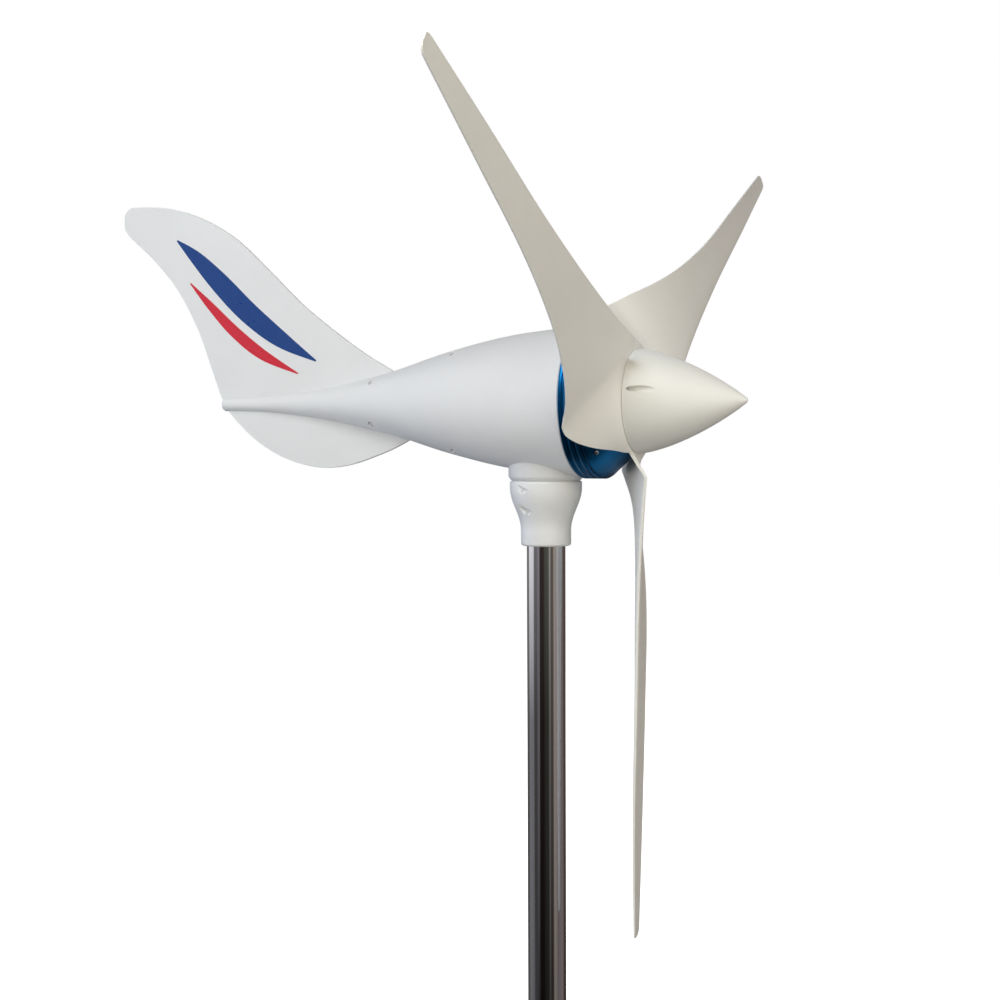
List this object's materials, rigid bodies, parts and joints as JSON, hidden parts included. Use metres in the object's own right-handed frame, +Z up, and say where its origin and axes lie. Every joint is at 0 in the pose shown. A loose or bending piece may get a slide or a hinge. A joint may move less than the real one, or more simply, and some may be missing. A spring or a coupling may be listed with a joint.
{
  "type": "small wind turbine",
  "caption": "Small horizontal-axis wind turbine with twisted blades, teardrop nacelle, blue alternator housing and swept tail fin, free to yaw on a short tube mast.",
  "frame": {"origin": "centre of the mast tube's lower end", "axes": "+Z up along the mast and yaw axis; +X along the rotor shaft towards the nose; +Y to the turbine's left when looking along +X"},
  "size_m": [0.8167, 1.0619, 1.0356],
  "materials": {
    "stainless_tube": "polished stainless",
    "white_plastic": "satin moulded",
    "white_paint": "satin",
    "cream_plastic": "satin moulded",
    "blue_paint": "satin, anodised look",
    "alloy": "machined",
    "steel": "machined",
    "iron": "laminated",
    "magnet": "nickel plated",
    "copper": "enamelled or bare copper",
    "carbon": "sintered carbon",
    "black_plastic": "moulded"
  },
  "bodies": {
    "mast": {"mast_tube": "stainless_tube", "mast_sleeve": "white_plastic", "sleeve_screw_upper": "white_paint", "sleeve_screw_lower": "white_paint", "yaw_spindle": "steel", "yaw_spindle_nut": "steel", "yaw_bearing_lower_inner_ring": "steel", "yaw_bearing_upper_inner_ring": "steel", "slip_ring_core": "black_plastic", "slip_ring_1": "copper", "slip_ring_2": "copper", "slip_ring_3": "copper"},
    "head": {"yaw_head": "white_paint", "yaw_bearing_lower_outer_ring": "steel", "yaw_bearing_upper_outer_ring": "steel", "nacelle_left": "white_plastic", "nacelle_right": "white_plastic", "nacelle_screw_tail_upper": "white_paint", "nacelle_screw_tail_lower": "white_paint", "nacelle_screw_body_upper": "white_paint", "nacelle_screw_body_lower": "white_paint", "tail_fin": "white_plastic", "front_housing": "blue_paint", "housing_screw_1": "steel", "housing_screw_2": "steel", "housing_screw_3": "steel", "housing_screw_4": "steel", "stator_core": "iron", "stator_winding": "copper", "main_bearing_rear_outer_ring": "steel", "main_bearing_front_outer_ring": "steel", "brush_holder": "black_plastic", "brush_1": "carbon", "brush_2": "carbon", "brush_3": "carbon"},
    "rotor": {"main_shaft": "steel", "rotor_core": "iron", "magnet_ring": "magnet", "main_bearing_rear_inner_ring": "steel", "main_bearing_front_inner_ring": "steel", "hub_rear_plate": "alloy", "hub_clamp_plate": "alloy", "hub_nut": "steel", "blade_1": "cream_plastic", "blade_2": "cream_plastic", "blade_3": "cream_plastic", "blade_bolt_1_leading": "steel", "blade_bolt_1_trailing": "steel", "blade_bolt_2_leading": "steel", "blade_bolt_2_trailing": "steel", "blade_bolt_3_leading": "steel", "blade_bolt_3_trailing": "steel", "spinner": "cream_plastic", "spinner_screw_1": "steel", "spinner_screw_2": "steel", "spinner_screw_3": "steel"},
    "yaw_lower_cage": {"yaw_bearing_lower_ball_cage": "steel"},
    "yaw_upper_cage": {"yaw_bearing_upper_ball_cage": "steel"},
    "main_rear_cage": {"main_bearing_rear_ball_cage": "steel"},
    "main_front_cage": {"main_bearing_front_ball_cage": "steel"}
  },
  "joints": [
    {"name": "yaw", "type": "hinge", "parent": "mast", "child": "head", "pos_m": [0, 0, 0.72], "axis": [0, 0, 1], "continuous": true},
    {"name": "rotor_spin", "type": "hinge", "parent": "head", "child": "rotor", "pos_m": [0, 0, 0.72], "axis": [1, 0, 0], "continuous": true},
    {"name": "yaw_lower_balls", "type": "hinge", "parent": "mast", "child": "yaw_lower_cage", "pos_m": [0, 0, 0.72], "axis": [0, 0, 1], "continuous": true},
    {"name": "yaw_upper_balls", "type": "hinge", "parent": "mast", "child": "yaw_upper_cage", "pos_m": [0, 0, 0.72], "axis": [0, 0, 1], "continuous": true},
    {"name": "main_rear_balls", "type": "hinge", "parent": "head", "child": "main_rear_cage", "pos_m": [0, 0, 0.72], "axis": [1, 0, 0], "continuous": true},
    {"name": "main_front_balls", "type": "hinge", "parent": "head", "child": "main_front_cage", "pos_m": [0, 0, 0.72], "axis": [1, 0, 0], "continuous": true}
  ],
  "couplings": [
    {"joint": "yaw_lower_balls", "follows": "yaw", "ratio": 0.5919},
    {"joint": "yaw_upper_balls", "follows": "yaw", "ratio": 0.5919},
    {"joint": "main_rear_balls", "follows": "rotor_spin", "ratio": 0.4107},
    {"joint": "main_front_balls", "follows": "rotor_spin", "ratio": 0.4107}
  ]
}
